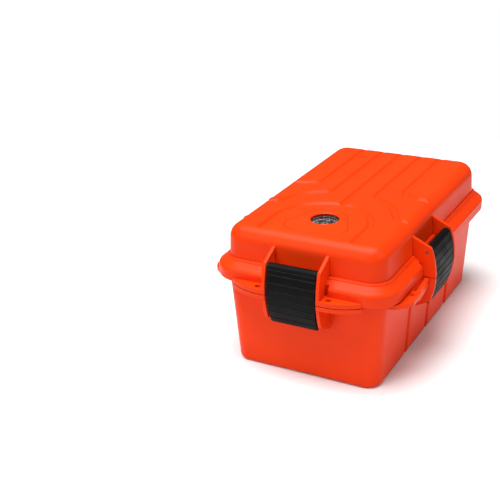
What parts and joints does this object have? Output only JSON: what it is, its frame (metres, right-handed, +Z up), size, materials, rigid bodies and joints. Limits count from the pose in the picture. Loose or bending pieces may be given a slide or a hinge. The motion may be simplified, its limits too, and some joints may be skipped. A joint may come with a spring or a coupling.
{
  "type": "first aid box",
  "caption": "Waterproof moulded first aid box: drafted tub, domed hinged lid with rubber gasket, snap latches, lanyard loops and a small compass set in the lid.",
  "frame": {"origin": "middle of the tub's flat underside, on the surface it stands on", "axes": "+Z up, +Y towards the rear hinges along the box's length, +X to the right seen from the front latch"},
  "size_m": [0.1826, 0.2732, 0.1248],
  "materials": {
    "orange_plastic": "semi-gloss moulded polypropylene",
    "black_plastic": "satin moulded nylon",
    "gasket_rubber": "soft matt rubber",
    "seal_rubber": "matt rubber",
    "pin_steel": "drawn stainless wire",
    "capsule_plastic": "black moulded plastic",
    "clear_lens": "clear polished acrylic",
    "dial_card": "matt dark dial with pale marks",
    "magnet_steel": "ground steel",
    "bearing_brass": "turned brass"
  },
  "bodies": {
    "tub": {"tub": "orange_plastic", "left_hinge_pin": "pin_steel", "right_hinge_pin": "pin_steel"},
    "lid": {"lid": "orange_plastic", "lid_gasket": "gasket_rubber", "compass_cover": "orange_plastic", "compass_capsule": "capsule_plastic", "compass_seal": "seal_rubber", "compass_lens": "clear_lens", "compass_pivot": "magnet_steel", "front_latch_pin": "pin_steel", "left_latch_pin": "pin_steel", "right_latch_pin": "pin_steel"},
    "front_latch": {"front_latch": "black_plastic"},
    "left_latch": {"left_latch": "black_plastic"},
    "right_latch": {"right_latch": "black_plastic"},
    "compass_card": {"compass_card": "dial_card", "compass_magnet": "magnet_steel", "compass_bearing": "bearing_brass"}
  },
  "joints": [
    {"name": "lid_hinge", "type": "hinge", "parent": "tub", "child": "lid", "pos_m": [0, 0.1315, 0.08], "axis": [-1, 0, 0], "range_deg": [0, 110]},
    {"name": "front_latch_hinge", "type": "hinge", "parent": "lid", "child": "front_latch", "pos_m": [0, -0.12944, 0.1018], "axis": [-1, 0, 0], "range_deg": [-4.5, 110]},
    {"name": "left_latch_hinge", "type": "hinge", "parent": "lid", "child": "left_latch", "pos_m": [-0.08354, -0.029, 0.1018], "axis": [0, 1, 0], "range_deg": [-4.5, 110]},
    {"name": "right_latch_hinge", "type": "hinge", "parent": "lid", "child": "right_latch", "pos_m": [0.08354, -0.029, 0.1018], "axis": [0, -1, 0], "range_deg": [-4.5, 110]},
    {"name": "compass_spin", "type": "hinge", "parent": "lid", "child": "compass_card", "pos_m": [0, -0.07, 0.1192], "axis": [0, 0, 1], "continuous": true}
  ]
}
